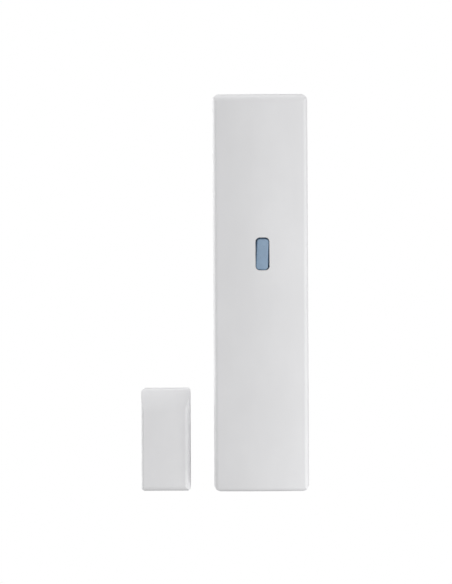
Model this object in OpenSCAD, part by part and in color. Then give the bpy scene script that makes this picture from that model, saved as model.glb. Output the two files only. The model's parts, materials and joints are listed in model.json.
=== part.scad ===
// Door contact sensor: a transmitter with a reed switch, and the magnet unit that stands beside it.
// +X is to the right, +Y into the wall and +Z up. The back faces lie on y = 0, the fronts face -Y.
// The origin is the middle of the transmitter's two fixing screws, on its back face.

/* [Transmitter case] */
// Width of the transmitter
body_w = 26; // [26:0.5:28]
// Height of the transmitter
body_h = 109; // [109:0.5:112]
// Depth of the transmitter from the wall
body_d = 22; // [22:0.5:24]
// Wall thickness of the cover
wall = 1.6; // [1.4:0.1:1.8]
// Radius of the gentle crown across the front
crown_r = 90; // [80:10:300]
// Rounding of the front's two long edges
side_edge_r = 1.4; // [1.2:0.1:2]
// Rounding of the front's top edge
top_edge_r = 2.2; // [1.8:0.1:3]
// Rounding of the front's bottom edge
bottom_edge_r = 1; // [0.8:0.1:1.6]
// Radius of the four corners seen from the front
corner_r = 1.9; // [1:0.1:2]
// Gap at the seam between the cover and the base
seam_gap = 0.15; // [0.1:0.05:0.2]

/* [Base] */
// Thickness of the base plate
plate_t = 2.4; // [2.2:0.1:2.6]
// Depth of the base's outer rim
rim_d = 3.9; // [3.7:0.1:4]
// Distance between the two fixing screws
screw_pitch = 60; // [56:1:64]
// Diameter of the fixing screw holes
screw_hole_d = 4; // [3.5:0.1:4.2]
// Diameter of the fixing screws' countersunk heads
screw_head_d = 6.8; // [6:0.1:7]

/* [Hinge] */
// Radius of the bead that the cover turns on
bead_r = 0.85; // [0.8:0.05:0.85]
// Distance from the middle to each hook finger
hook_x = 7.6; // [7.4:0.1:8]
// Width of each hook finger
hook_w = 3.6; // [3:0.2:3.6]
// Side clearance of a hook finger in its slot
hook_gap = 0.25; // [0.2:0.05:0.4]

/* [Status button] */
// Width of the button
button_w = 3.3; // [3:0.1:3.5]
// Height of the button
button_h = 8.5; // [8:0.1:9]
// Clearance round the button
button_gap = 0.25; // [0.2:0.05:0.3]
// Corner radius of the button
button_r = 0.9; // [0.6:0.1:1.2]
// How far the loose button lies turned in its hole, in degrees
button_skew = 2.5; // [0:0.5:3]
// How far the loose button rests below the middle of its hole
button_drop = 0.12; // [0:0.02:0.16]
// Travel of the button
button_travel = 0.5; // [0.3:0.1:0.5]

/* [Battery] */
// Diameter of the battery over its sleeve
battery_d = 17; // [16.5:0.1:17]
// Length of the battery with its positive cap
battery_l = 34.5; // [34:0.1:34.5]
// Thickness of the battery's sleeve
sleeve_t = 0.25; // [0.2:0.05:0.3]

/* [Circuit board] */
// Thickness of the board
board_t = 1.6; // [1.2:0.2:1.6]
// Length of the reed switch's glass
reed_l = 14; // [12:0.5:15]
// Diameter of the reed switch's glass
reed_d = 2.3; // [2:0.1:2.4]
// Number of whole turns of the antenna coil
antenna_turns = 8; // [6:1:9]

/* [Magnet unit] */
// Width of the magnet unit
magnet_w = 13.5; // [13.5:0.1:15]
// Height of the magnet unit
magnet_h = 28.2; // [28:0.2:30]
// Depth of the magnet unit from the wall
magnet_d = 14; // [14:0.5:16]
// Gap between the two units with the door closed
unit_gap = 6.6; // [4:0.1:12]
// Wall thickness of the magnet unit's cap
cap_wall = 1.4; // [1.2:0.1:1.5]
// Height of the cap's top end, where its front rolls back
roll_h = 6; // [5:0.5:7]
// Radius of that roll
roll_r = 10; // [9:0.5:12]
// Distance between the magnet unit's two fixing screws
magnet_screw_pitch = 16; // [15:0.5:16]
// Diameter of the magnet unit's fixing screw holes
magnet_hole_d = 3.4; // [3:0.1:3.5]
// Diameter of those screws' countersunk heads
magnet_head_d = 6; // [5.5:0.1:6.2]

/* [Hidden] */
$fn = 64;

// Surface overshoot of a cut past the face that it opens
past = 1;
// Overlap that joins two solids of one moulding
bond = 0.2;
// Clearance between neighbouring pieces that are fitted together
fit_gap = 0.05;
// Amount by which a rounding's form stands proud of the surface that it meets
skim = 0.01;

// Inside of the cover
inner_w = body_w - 2 * wall;
inner_h = body_h - 2 * wall;
inner_d = body_d - wall;
inner_edge_r = 0.6;
seam_d = rim_d + seam_gap;
top_z = body_h / 2;
inner_top_z = inner_h / 2;
bottom_z = -body_h / 2;
inner_bottom_z = -inner_h / 2;

// Hinge: depth and height of the bead's axis, and the hook fingers' depths
hinge_d = 1;
hinge_z = top_z - 0.9;
hook_near = 2.05;
hook_far = 3.25;
hook_foot = 4.5;
hook_top_gap = 0.2;
slot_near = 1.75;
slot_far = 4;

// Base: its top edge, the lips inside the cover and the catch at the bottom
base_top_z = inner_top_z - 0.5;
end_wall_t = 0.9;
pocket_top_z = base_top_z - end_wall_t;
lip_t = 1.2;
lip_gap = 0.15;
lip_d = 6;
side_lip_x = inner_w / 2 - lip_gap - lip_t / 2;
side_lip_h = 98;
bottom_lip_w = 20;
bottom_lip_z = inner_bottom_z + 0.2 + lip_t / 2;
back_sink_z = [-44, 12, 46];
back_sink = [16, 11];
back_sink_depth = 0.6;
knockout_z = -12;
knockout_r = 4.5;
knockout_groove = 0.6;
knockout_depth = 1.4;
tongue_w = 7;
tongue_d = 9;
tongue_slit = 0.6;
tongue_z = bottom_lip_z + 0.2;
release_slot = [6, 2];
release_slot_d = 7.6;

// Battery: its axis depth and its two ends
battery_axis_d = 11.5;
battery_r = battery_d / 2;
contact_t = 0.3;
battery_top_z = pocket_top_z - contact_t;
battery_bottom_z = battery_top_z - battery_l;
nub_h = 1.1;
nub_r = 3.1;
rim_turn = 0.45;
rim_w = 1.4;
cap_foot_r = nub_r + 0.6;
seal_h = 0.35;
can_top_z = battery_top_z - nub_h;
can_r = battery_r - sleeve_t;
spring_h = 2.6;
cradle_r = battery_r + 0.15;
cradle_w = 20;
lower_wall_t = 1.2;
lower_wall_top_z = battery_bottom_z - spring_h - contact_t;
lower_wall_z = lower_wall_top_z - lower_wall_t / 2;
end_wall_d = 16;
end_wall_w = cradle_w - 2;
battery_mid_z = (battery_top_z + battery_bottom_z) / 2;
saddle_places = [-0.3, 0.32] * battery_l;
saddle_t = 1.2;
saddle_d = 9;
arm_w = 1.8;
arm_h = 9;
arm_d = battery_axis_d + 3.6;

// Circuit board: its two faces and its top and bottom edges
board_back = 4.5;
board_face = board_back + board_t;
board_w = 19.6;
board_top_z = lower_wall_top_z - lower_wall_t - 0.4;
board_bottom_z = inner_bottom_z + 1.6;
board_mid_z = (board_top_z + board_bottom_z) / 2;
access_r = 4;
board_screw_spots = [[-7, -25.5], [7.3, -32.5]];
board_screw_r = 0.9;
board_screw_head_r = 1.9;
board_screw_head_h = 1.3;
boss_r = 2.5;
pilot_r = 1;
pilot_foot = 0.9;
board_screw_foot = 1.2;
screw_cross = [2.2, 0.45];
screw_cross_depth = 0.8;
support_spots = [[-8, 8.6], [8, 8.6], [-8, -49.2], [8, -49.2]];
support_r = 1.2;
clip_x = 7.2;
clip_w = 2.4;
clip_drop = 1.4;
clip_near = board_face + 0.15;
clip_far = board_face + 1.1;

// Battery contacts: the strips that run down to the board at each side
strip_x = 4.7;
strip_w = 1.8;
strip_near = plate_t + 0.1;
strip_far = strip_near + contact_t;
strip_slot_bottom_z = board_top_z - 4;
tab_z = board_top_z - 2.4;
tab_end = board_face + 0.7;
strip_end = 13;
contact_w = 13;
contact_shift = 1.5;
positive_depths = [8.5, 14.5];
negative_depths = [7, 15.5];
spring_wire_r = 0.35;
spring_foot_r = 4.2;
spring_tip_r = 2.6;
spring_turns = 2.75;

// Status button and the switch and light behind it
button_spot = [0.5, 10.6];
button_front = body_d - 0.2;
flange_lap = 0.75;
flange_t = 1.15;
flange_front = inner_d - 0.1;
button_edge = 0.35;
rail_gap = 0.35;
switch_spot = [0.5, 6.6];
switch_w = 6;
switch_h = 3.5;
switch_plate_t = 0.3;
switch_plate_w = switch_w - 0.2;
switch_top = board_face + switch_h;
plunger_r = 1.7;
plunger_bore_r = 1.8;
plunger_foot = switch_top - 0.7;
tact_tip = switch_top + 1.4;
stem_r = 1.5;
led_spot = [0.5, 10.9];
led_size = [2, 1.25];
led_h = 0.8;
led_end_w = 0.3;

// Tamper switch and the post on the cover that holds it down
tamper_spot = [6, -22.3];
tamper_tip = switch_top + 3;
post_r = 1.6;
post_rib_w = 5.8;
post_rib_foot = tamper_tip + 2;

// Reed switch, in line with the middle of the magnet
magnet_unit_x = -body_w / 2 - unit_gap - magnet_w / 2;
magnet_unit_z = bottom_z - 0.1 + magnet_h / 2;
reed_x = -8.3;
reed_z = magnet_unit_z;
reed_axis_d = board_face + reed_d / 2 + 0.35;
reed_seal = 1.5;
reed_glass_t = 0.3;
reed_wire_r = 0.25;
reed_reach = 3;
reed_pad_r = 0.7;
reed_pad_h = 0.3;
blade_w = 1;
blade_t = 0.2;
blade_lap = 0.7;
blade_space = 0.04;

// Chips
chip_spot = [-5, -3.5];
chip_w = 7;
chip_h = 1;
chip_lift = 0.1;
chip_dot_r = 0.4;
chip_dot_inset = 1.1;
leg_pitch = 0.8;
legs_a_side = 8;
leg_reach = 1;
leg_knee = 0.4;
leg_shoulder_h = 0.55;
leg_w = 0.35;
leg_t = 0.15;
shield_spot = [4.6, -4];
shield_size = [9, 12];
shield_h = 2.4;
shield_t = 0.25;
shield_hole_inset = 1.3;
shield_hole_r = 0.4;
radio_chip_w = 5;
radio_chip_h = 0.9;
crystal_spot = [-3.6, -13];
crystal_size = [11, 4.6];
crystal_h = 3.4;
crystal_rim_w = 0.4;
crystal_rim_h = 0.5;
capacitor_spot = [6, -14.5];
capacitor_r = 2.5;
capacitor_h = 5.2;
capacitor_foot_w = 5.3;
capacitor_foot_h = 0.7;
capacitor_groove = [0.9, 1.5];
capacitor_groove_depth = 0.25;
capacitor_rim = 0.3;
chip_part = [2, 1.25];
chip_part_h = 0.6;
chip_end_w = 0.35;
chip_spots = concat(
    [for (x = [-7.6, -4.6], z = [2.9, 5, 7.1]) [x, z]],
    [for (x = [5.3, 8.2], z = [4.2, 6.3]) [x, z]],
    [for (x = [-5.4, -2.6], z = [-44.8, -42.4, -40, -37.6]) [x, z]],
    [for (z = [-24.4, -22.2, -20, -17.8]) [0.4, z]]
);

// Terminal block and option jumper
terminal_spot = [4.3, -42.5];
terminal_pitch = 5.08;
terminal_size = [10.2, 8];
terminal_h = 9.6;
terminal_well_r = 1.9;
terminal_well_d = 4.2;
terminal_screw_r = 1.75;
terminal_slot = [4, 0.6];
terminal_slot_depth = 0.9;
terminal_screw_h = 2;
terminal_mouth = [3.2, 3.4];
terminal_mouth_l = 6.5;
terminal_mouth_d = board_face + 3.2;
terminal_cage = [3, 3.2];
terminal_cage_l = 4.4;
terminal_cage_t = 0.5;
jumper_spot = [-5.2, -20.5];
jumper_pitch = 2.54;
jumper_size = [5.08, 2.5];
jumper_foot_h = 2.5;
jumper_pin_w = 0.64;
jumper_pin_h = 8;
jumper_cap_h = 5.5;
jumper_cap_well = 1;
jumper_cap_notch = 1.2;

// Antenna
antenna_x = 0.7;
antenna_z = -49;
antenna_r = 1.45;
antenna_wire_r = 0.35;
antenna_l = 14;
antenna_axis_d = board_face + antenna_r + 2 * antenna_wire_r;

// Inside of the cover: ribs and the rails beside the button
rib_t = 0.9;
rib_h = 1.2;
cover_rib_z = [-47, -36, -12];
rail_t = 0.8;
rail_h = 2;
rail_l = 7.8;
rail_z = 9.1;

// Magnet unit
cap_seam_d = 2;
cap_edge_r = 1;
cap_bottom_r = 1.2;
cap_right_r = 1.6;
cap_left_r = 0.7;
cap_corner_r = 1;
cap_inner_r = 0.4;
magnet_plate_t = cap_seam_d - seam_gap;
magnet_lip_d = 4;
magnet_lip_t = 0.9;
bar_w = 6;
bar_l = 22;
bar_far = reed_axis_d + bar_w / 2;
bar_near = reed_axis_d - bar_w / 2;
holder_t = 0.9;
holder_rib_z = [-7, 0, 7];
magnet_sink = [7, 5];
magnet_sink_depth = 0.5;
pry_notch = [4, 0.9];

// Colours
shell_white = [0.93, 0.93, 0.94];
base_white = [0.9, 0.9, 0.91];
button_blue = [0.5, 0.62, 0.7];
board_green = [0.08, 0.36, 0.2];
black_plastic = [0.09, 0.09, 0.1];
bright_metal = [0.78, 0.78, 0.8];
solder_grey = [0.66, 0.67, 0.69];

// Rectangle with true arcs at its corners, centred
module round_rect(w, h, r) {
    square([w - 2 * r, h], center = true);
    square([w, h - 2 * r], center = true);
    for (x = [-1, 1], y = [-1, 1])
        translate([x * (w / 2 - r), y * (h / 2 - r)])
            circle(r);
}

// Gives a front view (x across, z up) its depth, from near to far in front of the wall
module slab(near, far) {
    translate([0, -near, 0])
        rotate([90, 0, 0])
            linear_extrude(far - near)
                children();
}

// Gives a side view (depth across, z up) its width, centred
module side_slab(w) {
    rotate([90, 0, -90])
        linear_extrude(w, center = true)
            children();
}

// Round peg or hole at a spot of the front view
module peg(spot, near, far, r) {
    slab(near, far)
        translate(spot)
            circle(r);
}

// Square-cornered block at a spot of the front view
module block(spot, size, near, far) {
    slab(near, far)
        translate(spot)
            square(size, center = true);
}

// Round-cornered block at a spot of the front view
module pad(spot, size, r, near, far) {
    slab(near, far)
        translate(spot)
            round_rect(size[0], size[1], r);
}

// Screw hole through a plate, with a 45 degree countersink on its front
module countersunk_hole(spot, thickness, hole_d, head_d) {
    sink = (head_d - hole_d) / 2;
    peg(spot, -past, thickness + past, hole_d / 2);
    peg(spot, thickness - 0.001, thickness + past, head_d / 2);
    translate([spot[0], -(thickness - sink), spot[1]])
        rotate([90, 0, 0])
            cylinder(h = sink, r1 = hole_d / 2, r2 = head_d / 2);
}

// Points of a helix about +Z, its radius going from r0 to r1 along the length
function helix(r0, r1, length, turns, rings_a_turn) =
    let (rings = round(turns * rings_a_turn))
    [
        for (i = [0:rings])
            let (
                t = i / rings,
                r = r0 + (r1 - r0) * t
            )
            [r * cos(360 * turns * t), r * sin(360 * turns * t), length * t]
    ];

function unit(v) = v / norm(v);

// Direction of a path at one of its points
function heading(path, i) = unit(path[min(i + 1, len(path) - 1)] - path[max(i - 1, 0)]);

// Round wire along a path that winds about +Z
module wire(path, wire_r, sides) {
    last = len(path) - 1;
    points = [
        for (i = [0:last])
            let (
                ahead = heading(path, i),
                across = unit([0, 0, 1] - ahead[2] * ahead),
                third = cross(ahead, across)
            )
            for (k = [0:sides - 1])
                let (angle = 360 * k / sides)
                path[i] + wire_r * (cos(angle) * across + sin(angle) * third)
    ];
    start_face = [for (k = [0:sides - 1]) k];
    end_face = [for (k = [sides - 1:-1:0]) last * sides + k];
    side_faces = [
        for (i = [0:last - 1], k = [0:sides - 1])
            let (
                a = i * sides + k,
                b = i * sides + (k + 1) % sides
            )
            each [[a, a + sides, b + sides], [a, b + sides, b]]
    ];
    polyhedron(points, concat([start_face], side_faces, [end_face]));
}

// Plan of the case: straight sides, a crowned front and rounded front edges
module crowned_plan(w, d, crown, edge) {
    crown_y = crown - d;
    edge_x = w / 2 - edge;
    edge_y = crown_y - sqrt(pow(crown - edge, 2) - pow(edge_x, 2));
    meet_x = crown * edge_x / (crown - edge);
    intersection() {
        translate([0, crown_y])
            circle(crown, $fn = 360);
        translate([-meet_x, -d - past])
            square([2 * meet_x, d + 2 * past]);
    }
    translate([-w / 2, edge_y])
        square([w, past - edge_y]);
    for (x = [-edge_x, edge_x])
        translate([x, edge_y])
            circle(edge);
}

// Side view of the case: rounded front edges at its top and bottom
module case_side(h, d, top, bottom) {
    translate([-past, -h / 2])
        square([d + past - bottom, h / 2]);
    translate([-past, 0])
        square([d + past - top, h / 2]);
    translate([-past, bottom - h / 2])
        square([d + past, h - top - bottom]);
    translate([d - top, h / 2 - top])
        circle(top);
    translate([d - bottom, bottom - h / 2])
        circle(bottom);
}

// Closed form of the case, open towards the wall
module case_form(w, h, d, crown, edge, top, bottom, corner) {
    intersection() {
        slab(-past, d + past)
            round_rect(w, h, corner);
        linear_extrude(h + past, center = true)
            crowned_plan(w, d, crown, edge);
        translate([0, crown - d, 0])
            rotate_extrude($fn = 360)
                translate([crown - d, 0])
                    case_side(h, d + skim, top, bottom);
    }
}

module cover_skin() {
    difference() {
        case_form(body_w, body_h, body_d, crown_r, side_edge_r,
            top_edge_r, bottom_edge_r, corner_r);
        case_form(inner_w, inner_h, inner_d, crown_r - wall, inner_edge_r,
            inner_edge_r, inner_edge_r, inner_edge_r);
        block([0, (inner_top_z + bottom_z - past) / 2],
            [body_w + past, inner_top_z - bottom_z + past], -2 * past, seam_d);
        block([0, top_z], [body_w + past, 4 * wall], -2 * past, hinge_d);
    }
    translate([0, -hinge_d, hinge_z])
        rotate([0, 90, 0])
            cylinder(h = body_w - 2 * corner_r, r = bead_r, center = true);
}

module button_outline(grow) {
    translate(button_spot)
        round_rect(button_w + 2 * grow, button_h + 2 * grow, button_r + grow);
}

module tamper_post() {
    peg(tamper_spot, tamper_tip + fit_gap, inner_d + bond, post_r);
    block(tamper_spot, [rib_t, post_rib_w], post_rib_foot, inner_d + bond);
    block(tamper_spot, [post_rib_w, rib_t], post_rib_foot, inner_d + bond);
}

module front_cover() {
    rail_x = button_w / 2 + flange_lap + rail_gap + rail_t / 2;
    color(shell_white)
        difference() {
            union() {
                cover_skin();
                intersection() {
                    union() {
                        tamper_post();
                        for (z = cover_rib_z)
                            block([0, z], [inner_w + bond, rib_t], inner_d - rib_h, body_d - wall / 2);
                        for (x = [-rail_x, rail_x])
                            block([button_spot[0] + x, rail_z], [rail_t, rail_l],
                                inner_d - rail_h, body_d - wall / 2);
                    }
                    case_form(body_w - wall, body_h - wall, body_d - wall / 2, crown_r - wall / 2,
                        inner_edge_r, inner_edge_r, inner_edge_r, inner_edge_r);
                }
            }
            slab(inner_d - past, body_d + past)
                button_outline(button_gap);
            for (x = [-hook_x, hook_x])
                block([x, top_z], [hook_w + 2 * hook_gap, 4 * wall], slot_near, slot_far);
            block([0, bottom_z], [release_slot[0], 4 * wall],
                release_slot_d - release_slot[1] / 2, release_slot_d + release_slot[1] / 2);
        }
}

// Front view of the base plate, cut off below the cover's top wall
module base_outline() {
    intersection() {
        round_rect(body_w, body_h, corner_r);
        translate([-body_w, bottom_z - past])
            square([2 * body_w, base_top_z - bottom_z + past]);
    }
}

module base_walls() {
    difference() {
        slab(0, rim_d)
            base_outline();
        block([0, (pocket_top_z + inner_bottom_z) / 2],
            [inner_w, pocket_top_z - inner_bottom_z], plate_t, rim_d + past);
    }
    for (x = [-side_lip_x, side_lip_x])
        block([x, 0], [lip_t, side_lip_h], plate_t - bond, lip_d);
    block([0, bottom_lip_z], [bottom_lip_w, lip_t], plate_t - bond, lip_d);
    for (x = [-hook_x, hook_x])
        block([x, top_z - hook_top_gap - hook_foot / 2], [hook_w, hook_foot], hook_near, hook_far);
}

// Saddles, end walls and spring arms that hold the battery, and the clips over the board's top edge
module battery_cradle() {
    difference() {
        union() {
            for (z = saddle_places)
                block([0, battery_mid_z + z], [cradle_w, saddle_t], plate_t - bond, saddle_d);
            for (x = [-1, 1])
                block([x * (cradle_w - arm_w) / 2, battery_mid_z], [arm_w, arm_h], plate_t - bond, arm_d);
        }
        translate([0, -battery_axis_d, 0])
            cylinder(h = body_h, r = cradle_r);
    }
    block([0, lower_wall_z], [end_wall_w, lower_wall_t], plate_t - bond, end_wall_d);
    block([0, base_top_z - end_wall_t / 2], [end_wall_w, end_wall_t], plate_t - bond, end_wall_d);
    for (x = [-clip_x, clip_x])
        block([x, lower_wall_z - (lower_wall_t + clip_drop) / 2], [clip_w, clip_drop + bond],
            clip_near, clip_far);
}

module base() {
    color(base_white)
        difference() {
            union() {
                base_walls();
                battery_cradle();
                for (spot = board_screw_spots)
                    peg(spot, plate_t - bond, board_back, boss_r);
                for (spot = support_spots)
                    peg(spot, plate_t - bond, board_back, support_r);
                block([0, tongue_z], [tongue_w, lip_t], plate_t - bond, tongue_d);
            }
            for (x = [-1, 1])
                block([x * (tongue_w + tongue_slit) / 2, bottom_lip_z],
                    [tongue_slit, lip_t + past], plate_t, lip_d + past);
            for (z = [-screw_pitch / 2, screw_pitch / 2])
                countersunk_hole([0, z], plate_t, screw_hole_d, screw_head_d);
            for (spot = board_screw_spots)
                peg(spot, pilot_foot, board_back + past, pilot_r);
            for (x = [-strip_x, strip_x])
                block([x, (strip_slot_bottom_z + pocket_top_z) / 2],
                    [strip_w + 0.4, pocket_top_z - strip_slot_bottom_z], plate_t, strip_far + 0.2);
            base_back_marks();
        }
}

// Shallow sinks and a knock-out ring on the wall side of the base
module base_back_marks() {
    for (z = back_sink_z)
        pad([0, z], back_sink, corner_r, -past, back_sink_depth);
    difference() {
        peg([0, knockout_z], -past, knockout_depth, knockout_r);
        peg([0, knockout_z], -2 * past, knockout_depth + past, knockout_r - knockout_groove);
    }
}

module status_button() {
    color(button_blue) {
        translate([button_spot[0], 0, button_spot[1] - button_drop])
            rotate([0, button_skew, 0])
                translate([-button_spot[0], 0, -button_spot[1]]) {
                    slab(flange_front - bond, button_front - button_edge)
                        button_outline(0);
                    slab(flange_front - bond, button_front)
                        button_outline(-button_edge);
                }
        pad(button_spot, [button_w + 2 * flange_lap, button_h + 2 * flange_lap], button_r,
            flange_front - flange_t, flange_front);
        peg(switch_spot, tact_tip + fit_gap, flange_front - flange_t + bond, stem_r);
    }
}

module circuit_board() {
    color(board_green)
        slab(board_back, board_face)
            difference() {
                translate([0, board_mid_z])
                    round_rect(board_w, board_top_z - board_bottom_z, 0.6);
                translate([0, -screw_pitch / 2])
                    circle(access_r);
                for (spot = board_screw_spots)
                    translate(spot)
                        circle(board_screw_r + 0.2);
                for (x = [-strip_x, strip_x])
                    translate([x, tab_z])
                        square([strip_w + 0.2, contact_t + 0.2], center = true);
            }
}

module board_screws() {
    cross_foot = board_face + board_screw_head_h - screw_cross_depth;
    color(bright_metal)
        for (spot = board_screw_spots)
            difference() {
                union() {
                    peg(spot, board_screw_foot, board_face + bond, board_screw_r);
                    peg(spot, board_face, board_face + board_screw_head_h, board_screw_head_r);
                }
                for (turn = [0, 90])
                    translate([spot[0], 0, spot[1]])
                        rotate([0, turn, 0])
                            block([0, 0], screw_cross, cross_foot, cross_foot + past);
            }
}

// Push switch housing with a bore for its plunger
module switch_housing(spot) {
    color(black_plastic)
        difference() {
            pad(spot, [switch_w, switch_w], 0.4, board_face, switch_top);
            peg(spot, plunger_foot - button_travel - bond, switch_top + past, plunger_bore_r);
        }
}

module tact_switch() {
    switch_housing(switch_spot);
}

module tamper_switch() {
    switch_housing(tamper_spot);
}

module switch_plates() {
    color(bright_metal)
        for (spot = [switch_spot, tamper_spot])
            difference() {
                pad(spot, [switch_plate_w, switch_plate_w], 0.5, switch_top, switch_top + switch_plate_t);
                peg(spot, switch_top - past, switch_top + past, plunger_bore_r);
            }
}

module tact_plunger() {
    color(black_plastic)
        peg(switch_spot, plunger_foot, tact_tip, plunger_r);
}

module tamper_plunger() {
    color(black_plastic)
        peg(tamper_spot, plunger_foot, tamper_tip, plunger_r);
}

module status_led() {
    color("ivory") {
        block(led_spot, led_size, board_face, board_face + led_h / 2);
        block(led_spot, [led_size[0] - 2 * led_end_w, led_size[1]], board_face, board_face + led_h);
    }
}

// Moves children to the reed switch's axis, at its middle
module at_reed() {
    translate([reed_x, -reed_axis_d, reed_z])
        children();
}

module reed_glass() {
    color([0.75, 0.88, 0.8, 0.5])
        at_reed()
            difference() {
                cylinder(h = reed_l, r = reed_d / 2, center = true);
                cylinder(h = reed_l - 2 * reed_seal, r = reed_d / 2 - reed_glass_t, center = true);
                cylinder(h = reed_l + past, r = reed_wire_r + 0.02, center = true);
            }
}

// Wire from inside a glass end along the axis and down to the board; end is 1 at the top,
// -1 at the bottom, and stub is how far the wire shows inside the glass
module reed_wire(end, stub) {
    bend_z = end * (reed_l / 2 + reed_reach);
    at_reed() {
        translate([0, 0, end * (reed_l / 2 - reed_seal - stub)])
            mirror([0, 0, end < 0 ? 1 : 0])
                cylinder(h = reed_seal + stub + reed_reach, r = reed_wire_r);
        translate([0, 0, bend_z])
            rotate([-90, 0, 0])
                cylinder(h = reed_axis_d - board_face, r = reed_wire_r);
        translate([0, 0, bend_z])
            sphere(reed_wire_r);
    }
    peg([reed_x, reed_z + bend_z], board_face, board_face + reed_pad_h, reed_pad_r);
}

module reed_leads() {
    blade_l = reed_l / 2 - reed_seal + blade_lap / 2;
    color(bright_metal) {
        reed_wire(1, 0);
        reed_wire(-1, 2 * bond);
        at_reed()
            translate([-blade_w / 2, blade_space / 2, fit_gap - reed_l / 2 + reed_seal])
                cube([blade_w, blade_t, blade_l - fit_gap]);
    }
}

module reed_blade() {
    blade_l = reed_l / 2 - reed_seal + blade_lap / 2 - fit_gap;
    color(bright_metal)
        at_reed()
            translate([-blade_w / 2, -blade_space / 2 - blade_t, -blade_lap / 2])
                cube([blade_w, blade_t, blade_l]);
}

module microcontroller() {
    dot = chip_w / 2 - chip_dot_inset;
    color(black_plastic)
        difference() {
            pad(chip_spot, [chip_w, chip_w], 0.1, board_face + chip_lift, board_face + chip_lift + chip_h);
            peg([chip_spot[0] - dot, chip_spot[1] + dot], board_face + chip_h,
                board_face + chip_h + past, chip_dot_r);
        }
}

module chip_legs() {
    shoulder = board_face + leg_shoulder_h;
    foot_l = leg_reach - leg_knee + leg_t / 2;
    color(solder_grey)
        translate([chip_spot[0], 0, chip_spot[1]])
            for (side = [0:90:270], i = [0:legs_a_side - 1])
                rotate([0, side, 0])
                    translate([(i - (legs_a_side - 1) / 2) * leg_pitch, 0, 0]) {
                        block([0, (chip_w + leg_knee) / 2], [leg_w, leg_knee], shoulder, shoulder + leg_t);
                        block([0, chip_w / 2 + leg_knee], [leg_w, leg_t], board_face, shoulder + leg_t);
                        block([0, chip_w / 2 + leg_reach - foot_l / 2], [leg_w, foot_l],
                            board_face, board_face + leg_t);
                    }
}

module radio_chip() {
    color(black_plastic)
        pad(shield_spot, [radio_chip_w, radio_chip_w], 0.1, board_face, board_face + radio_chip_h);
}

module radio_shield() {
    color(bright_metal)
        difference() {
            pad(shield_spot, shield_size, 0.5, board_face, board_face + shield_h);
            block(shield_spot, [shield_size[0] - 2 * shield_t, shield_size[1] - 2 * shield_t],
                board_face - past, board_face + shield_h - shield_t);
            for (x = [-1, 1], z = [-1, 1])
                peg([shield_spot[0] + x * (shield_size[0] / 2 - shield_hole_inset),
                    shield_spot[1] + z * (shield_size[1] / 2 - shield_hole_inset)],
                    board_face + shield_h / 2, board_face + shield_h + past, shield_hole_r);
        }
}

module crystal() {
    end_r = crystal_size[1] / 2 - 0.01;
    color(bright_metal) {
        pad(crystal_spot, crystal_size, end_r, board_face, board_face + crystal_rim_h);
        pad(crystal_spot, [for (side = crystal_size) side - 2 * crystal_rim_w],
            end_r - crystal_rim_w, board_face, board_face + crystal_h);
    }
}

module capacitor_foot() {
    color(black_plastic)
        pad(capacitor_spot, [capacitor_foot_w, capacitor_foot_w], 0.5,
            board_face, board_face + capacitor_foot_h);
}

module capacitor_can() {
    foot_top = board_face + capacitor_foot_h;
    groove_top = foot_top + capacitor_groove[1];
    color(bright_metal) {
        peg(capacitor_spot, foot_top, foot_top + capacitor_groove[0], capacitor_r);
        peg(capacitor_spot, foot_top, groove_top + bond, capacitor_r - capacitor_groove_depth);
        peg(capacitor_spot, groove_top, foot_top + capacitor_h - capacitor_rim, capacitor_r);
        peg(capacitor_spot, groove_top, foot_top + capacitor_h, capacitor_r - capacitor_rim);
    }
}

module chip_parts() {
    color([0.2, 0.19, 0.18])
        for (spot = chip_spots)
            block(spot, [chip_part[0] - 2 * chip_end_w, chip_part[1]],
                board_face, board_face + chip_part_h);
}

module chip_ends() {
    color(solder_grey)
        for (spot = chip_spots, x = [-1, 1])
            block([spot[0] + x * (chip_part[0] - chip_end_w) / 2, spot[1]],
                [chip_end_w, chip_part[1]], board_face, board_face + chip_part_h);
}

// Moves children to each place of the terminal block
module at_terminals() {
    for (x = [-0.5, 0.5])
        translate([terminal_spot[0] + x * terminal_pitch, 0, terminal_spot[1]])
            children();
}

module terminal_block() {
    top = board_face + terminal_h;
    mouth_z = (terminal_mouth_l - terminal_size[1] - past) / 2;
    color([0.1, 0.35, 0.2])
        difference() {
            pad(terminal_spot, terminal_size, 0.3, board_face, top);
            at_terminals() {
                peg([0, 0], top - terminal_well_d, top + past, terminal_well_r);
                block([0, mouth_z], [terminal_mouth[0], terminal_mouth_l + past],
                    terminal_mouth_d - terminal_mouth[1] / 2, terminal_mouth_d + terminal_mouth[1] / 2);
            }
        }
}

module terminal_clamps() {
    reach = terminal_cage[1] / 2;
    color("goldenrod")
        at_terminals()
            difference() {
                block([0, 0], [terminal_cage[0], terminal_cage_l],
                    terminal_mouth_d - reach, terminal_mouth_d + reach);
                block([0, 0], [terminal_cage[0] - 2 * terminal_cage_t, terminal_cage_l + past],
                    terminal_mouth_d - reach + terminal_cage_t, terminal_mouth_d + reach - terminal_cage_t);
            }
}

module terminal_screws() {
    foot = board_face + terminal_h - terminal_well_d;
    top = foot + terminal_screw_h;
    color(bright_metal)
        at_terminals()
            difference() {
                peg([0, 0], foot, top, terminal_screw_r);
                block([0, 0], terminal_slot, top - terminal_slot_depth, top + past);
            }
}

// The two pin places of the option jumper
module at_jumper_pins() {
    for (x = [-0.5, 0.5])
        translate([jumper_spot[0] + x * jumper_pitch, 0, jumper_spot[1]])
            children();
}

module jumper_header() {
    color(black_plastic)
        difference() {
            pad(jumper_spot, jumper_size, 0.4, board_face, board_face + jumper_foot_h);
            at_jumper_pins()
                block([0, 0], [jumper_pin_w + 0.02, jumper_pin_w + 0.02],
                    board_face - past, board_face + jumper_foot_h + past);
        }
}

module jumper_pins() {
    color("goldenrod")
        at_jumper_pins()
            block([0, 0], [jumper_pin_w, jumper_pin_w], board_face, board_face + jumper_pin_h);
}

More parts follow.
